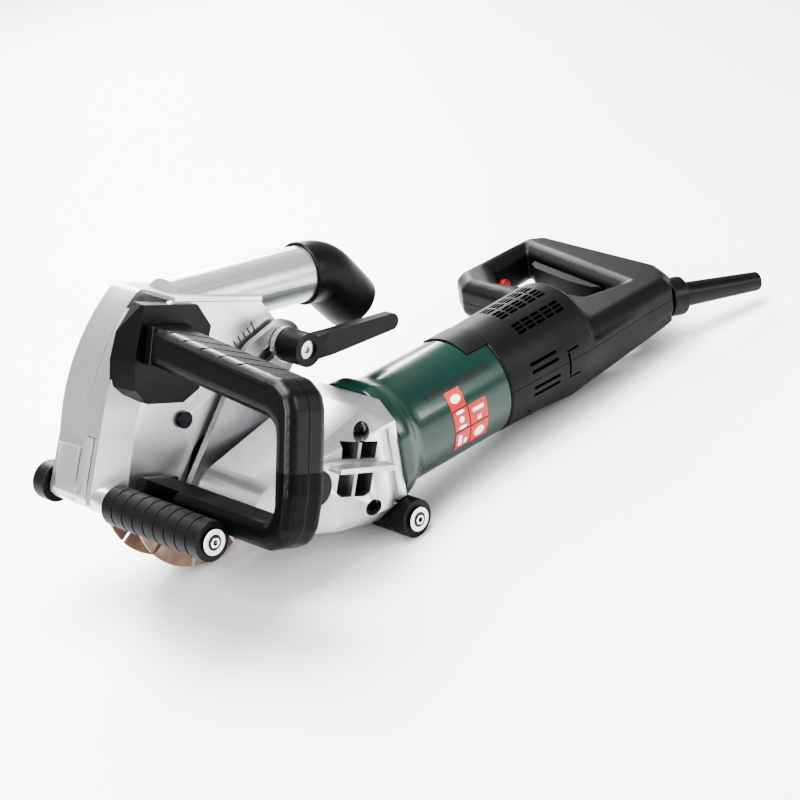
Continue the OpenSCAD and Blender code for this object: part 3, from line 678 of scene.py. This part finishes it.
# ------------------------------------------------------------------ carried parts with finished edges
for node, mat, slot, width in (
        ("hood_shell", "hood", "hood_metal", 1.2), ("hood_cover", "hood", "hood_metal", 1.4),
        ("handle_pad", "black", "black_plastic", 2.2), ("hood_bolt", "dark_steel", "steel", 0.5),
        ("cover_screw", "black", "black_plastic", 0.5), ("clamp_lever", "black", "black_plastic", 2.6),
        ("trigger", "charcoal", "black_plastic", 2.0), ("lock_button", "red", "red_plastic", 0.8),
        ("spindle_lock", "black", "black_plastic", 1.2), ("gear_screws", "steel", "steel", 0.5),
        ("cable_gland", "elbow", "black_plastic", 1.0), ("bend_sleeve", "elbow", "grip_rubber", 1.2),
        ("front_roller", "rubber", "roller_rubber", 0.7), ("rear_roller", "rubber", "roller_rubber", 0.7),
        ("front_ring", "rubber", "roller_rubber", 1.0), ("rear_ring", "rubber", "roller_rubber", 1.0),
        ("front_axle", "dark_steel", "bright_steel", 0.5), ("rear_axle", "dark_steel", "bright_steel", 0.5),
        ("disc_near", "disc", "segment_metal", 0.3), ("disc_far", "disc", "segment_metal", 0.3),
        ("lever_bolt", "steel", "steel", 0.4)):
    edged(node, mat, width)

# White washer rings and hexagon bolt heads on both ends of each axle
for name, body, x in (("front", "guard", 0), ("rear", "motor_unit", WHEELBASE)):
    for end, y in (("near", -1.6), ("far", 193.6)):
        shift = Matrix.Translation((x, y, 0))
        if end == "near":
            shift = shift @ Matrix.Rotation(math.pi, 4, "Z")
        ring = lathe([(-0.5, 5.9), (0.35, 5.9), (0.5, 6.2), (0.5, 9.2), (0.2, 9.5), (-0.5, 9.5)], "y", 64)
        piece(f"{name}_{end}_washer", moved(ring, shift), body, "washer", (), TOOL)
        head = lathe([(-0.4, TINY), (-0.4, 4.2), (0.9, 4.2), (1.2, 3.8), (1.2, TINY)], "y", 6)
        head = boolean(head, lathe([(-2, TINY), (-2, 2.1), (2, 2.1), (2, TINY)], "y", 24))
        piece(f"{name}_{end}_bolt", moved(head, shift), body, "bright", (), TOOL, 0.15)

# Nodes whose shape stays as it is
for node, mat in (
        ("spindle_bearings", "steel"), ("bearing_cap", "steel"), ("stator_core", "iron"),
        ("field_coils", "copper"), ("armature_bearings", "steel"), ("housing_screws", "steel"),
        ("brush_holders", "brass"), ("carbon_brushes", "carbon"), ("switch_module", "black"),
        ("control_board", "board"), ("cord_clamp", "steel"), ("clamp_stud", "bright"),
        ("armature_shaft", "steel"), ("armature_core", "iron"), ("commutator", "copper"), ("fan", "black"),
        ("pinion", "steel"), ("spindle", "steel"), ("crown_gear", "steel"), ("inner_flange", "steel"),
        ("disc_spacer", "steel"), ("disc_nut", "steel"), ("handle_screws", "steel"), ("depth_scale", "ink")):
    NODES[node].data.materials.clear()
    NODES[node].data.materials.append(M[mat])

# ------------------------------------------------------------------ stage, light and camera
floor = bpy.data.meshes.new("floor")
floor.from_pydata([(-6, -6, 0), (6, -6, 0), (6, 6, 0), (-6, 6, 0)], [], [(0, 1, 2, 3)])
floor = link("floor", floor)
floor.data.materials.append(material("studio_floor", (0.86, 0.86, 0.86), (0.845, 0.845, 0.845), (0.5, 0.6),
                                     0.0, 300, 0.02, 0.02, 3))
MIDDLE = Vector((0, 0, 0.1))


def area(name, place, size, power):
    """Soft rectangular light that faces the middle of the object."""
    light = bpy.data.lights.new(name, "AREA")
    light.shape, light.size, light.size_y = "RECTANGLE", size[0], size[1]
    light.energy = power
    o = bpy.data.objects.new(name, light)
    bpy.context.scene.collection.objects.link(o)
    o.location = place
    o.rotation_euler = (MIDDLE - Vector(place)).to_track_quat("-Z", "Y").to_euler()


area("overhead", (-0.1, 0.2, 1.4), (1.2, 0.9), 48)
area("key", (-1.4, -0.5, 0.9), (0.5, 0.9), 24)
area("side", (0.8, -1.4, 0.7), (0.5, 0.6), 9)
area("rim", (0.7, 1.4, 0.8), (0.9, 0.6), 30)
world = bpy.data.worlds.new("studio")
bpy.context.scene.world = world
world.use_nodes = True
world.node_tree.nodes["Background"].inputs["Color"].default_value = (1, 1, 1, 1)
world.node_tree.nodes["Background"].inputs["Strength"].default_value = 0.55

EYE = (-1019.1, -1142.8, 385.1)          # camera in the tool frame, millimetres
RIGHT, UP, AWAY = (0.70347, -0.70091, 0.11772), (0.04180, 0.20615, 0.97763), (0.70950, 0.68281, -0.17432)
turn = TOOL.to_quaternion()
cam = bpy.data.objects.new("camera", bpy.data.cameras.new("camera"))
bpy.context.scene.collection.objects.link(cam)
axes = [turn @ Vector(v) for v in (RIGHT, UP, AWAY)]
basis = Matrix((axes[0], axes[1], -axes[2])).transposed().to_4x4()
cam.matrix_world = Matrix.Translation(TOOL @ Vector(EYE)) @ basis
cam.data.lens, cam.data.sensor_width = 102.06, 36
cam.data.clip_start, cam.data.clip_end = 0.05, 30
bpy.context.scene.camera = cam
bpy.context.scene.view_settings.look = "AgX - High Contrast"
